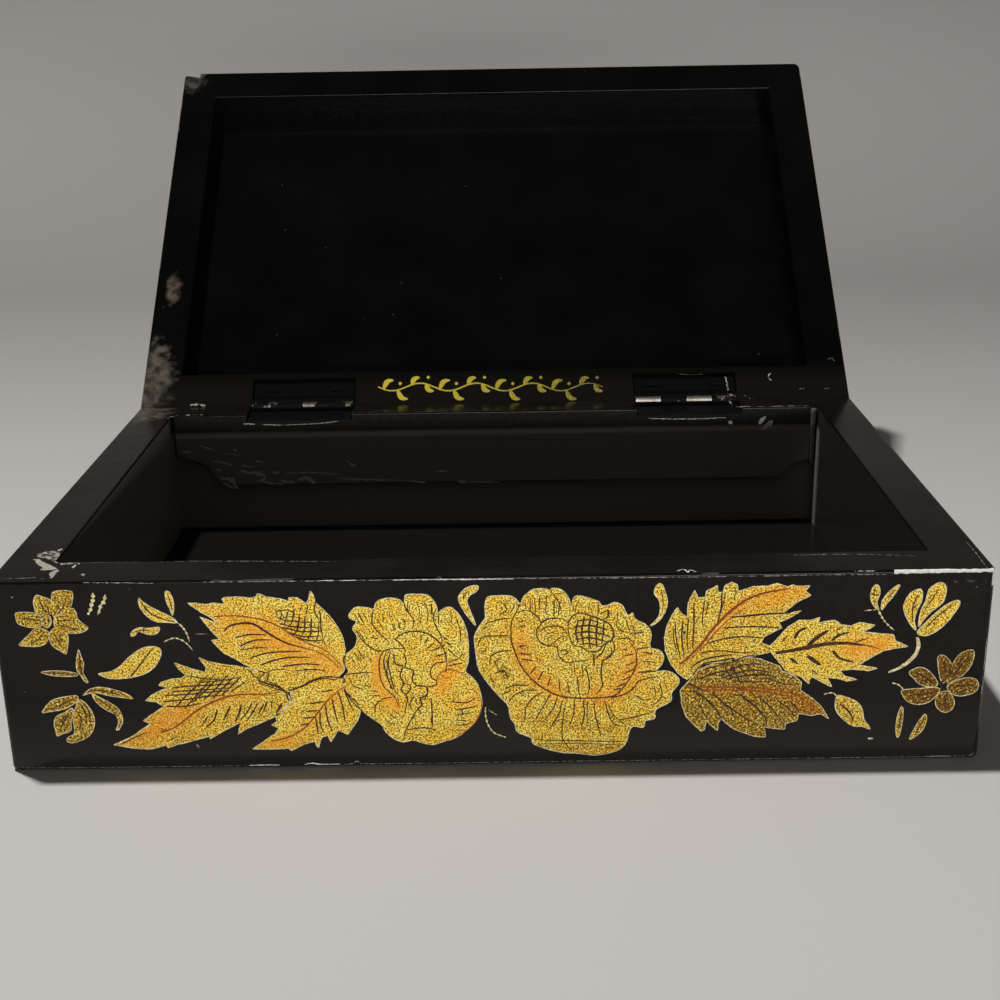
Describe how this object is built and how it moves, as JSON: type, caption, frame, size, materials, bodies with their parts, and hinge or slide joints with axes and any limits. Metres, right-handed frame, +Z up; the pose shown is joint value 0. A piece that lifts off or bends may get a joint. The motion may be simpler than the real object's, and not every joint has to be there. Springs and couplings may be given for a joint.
{
  "type": "kashmiri papier mache box",
  "caption": "Shallow rectangular lacquered box with a tray-shaped hinged lid, black with gold leaf flowers, shown with the lid leaning open.",
  "frame": {"origin": "on the underside, below the middle of the case", "axes": "+Z up from the surface that the box rests on, +Y from the decorated front to the hinged back, +X to the right seen from the front"},
  "size_m": [0.178, 0.2108, 0.114],
  "materials": {
    "black_lacquer": "semi-gloss black lacquer over gesso, paper and wood",
    "hinge_brass": "tarnished brass with black paint left in the hollows",
    "hinge_pin": "dull steel",
    "screw_brass": "tarnished brass",
    "gold_leaf": "mottled gold leaf, varnished",
    "ornament_line": "dark brown and red drawn lines",
    "gesso": "chalky white gesso laid bare in chips"
  },
  "bodies": {
    "case": {"front_wall": "black_lacquer", "back_wall": "black_lacquer", "left_wall": "black_lacquer", "right_wall": "black_lacquer", "bottom_board": "black_lacquer", "hinge_batten": "black_lacquer", "left_hinge_case_leaf": "hinge_brass", "left_hinge_pin": "hinge_pin", "left_hinge_case_screws": "screw_brass", "right_hinge_case_leaf": "hinge_brass", "right_hinge_pin": "hinge_pin", "right_hinge_case_screws": "screw_brass"},
    "lid": {"lid_panel": "black_lacquer", "lid_front_rail": "black_lacquer", "lid_back_rail": "black_lacquer", "lid_left_rail": "black_lacquer", "lid_right_rail": "black_lacquer", "left_hinge_lid_leaf": "hinge_brass", "left_hinge_lid_screws": "screw_brass", "right_hinge_lid_leaf": "hinge_brass", "right_hinge_lid_screws": "screw_brass"}
  },
  "joints": [
    {"name": "lid_hinge", "type": "hinge", "parent": "case", "child": "lid", "pos_m": [0, 0.057, 0.03768], "axis": [1, 0, 0], "range_deg": [0, 138.6]}
  ]
}
